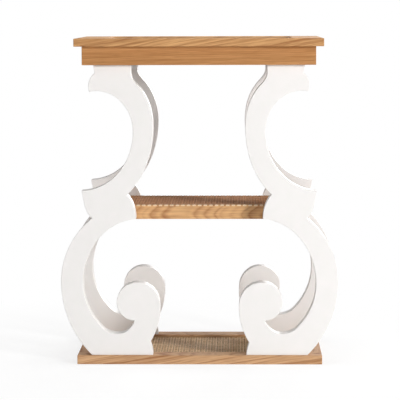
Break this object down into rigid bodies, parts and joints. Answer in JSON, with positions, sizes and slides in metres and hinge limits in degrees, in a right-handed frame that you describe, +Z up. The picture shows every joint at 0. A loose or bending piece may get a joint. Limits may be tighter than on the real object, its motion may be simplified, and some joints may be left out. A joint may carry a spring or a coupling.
{
  "type": "tray top side table",
  "caption": "Tall side table with a recessed tray top, a middle shelf and a base, each a wooden frame faced with woven cane, on white scroll-cut board legs.",
  "frame": {"origin": "on the floor under the middle of the table, which is the bottom centre of its box", "axes": "+Z up, +X to the right seen from the front, +Y from the front to the back"},
  "size_m": [0.648, 0.41, 0.762],
  "materials": {
    "oak": "natural oak, matt clear finish",
    "painted_leg": "white satin paint on board",
    "cane": "open-weave natural cane",
    "reed": "natural reed",
    "backing_board": "stained plywood",
    "beech": "bare beech",
    "zinc_screw": "zinc plated"
  },
  "bodies": {
    "root": {"base_front_rail": "oak", "base_back_rail": "oak", "base_left_rail": "oak", "base_right_rail": "oak", "base_panel": "backing_board", "base_cane": "cane", "base_spline": "reed", "leg_front_left": "painted_leg", "leg_front_right": "painted_leg", "leg_back_left": "painted_leg", "leg_back_right": "painted_leg", "shelf_front_rail": "oak", "shelf_back_rail": "oak", "shelf_left_rail": "oak", "shelf_right_rail": "oak", "shelf_panel": "backing_board", "shelf_cane": "cane", "shelf_spline": "reed", "apron_front": "oak", "apron_back": "oak", "apron_left": "oak", "apron_right": "oak", "cleat_front": "beech", "cleat_back": "beech", "cleat_left": "beech", "cleat_right": "beech", "tray_front_rail": "oak", "tray_back_rail": "oak", "tray_left_rail": "oak", "tray_right_rail": "oak", "tray_panel": "backing_board", "tray_cane": "cane", "tray_spline": "reed", "foot_screws": "zinc_screw", "leg_top_screws": "zinc_screw", "cleat_screws": "zinc_screw", "apron_dowels": "beech", "shelf_corner_dowels": "beech", "shelf_leg_dowels": "beech"}
  },
  "joints": []
}
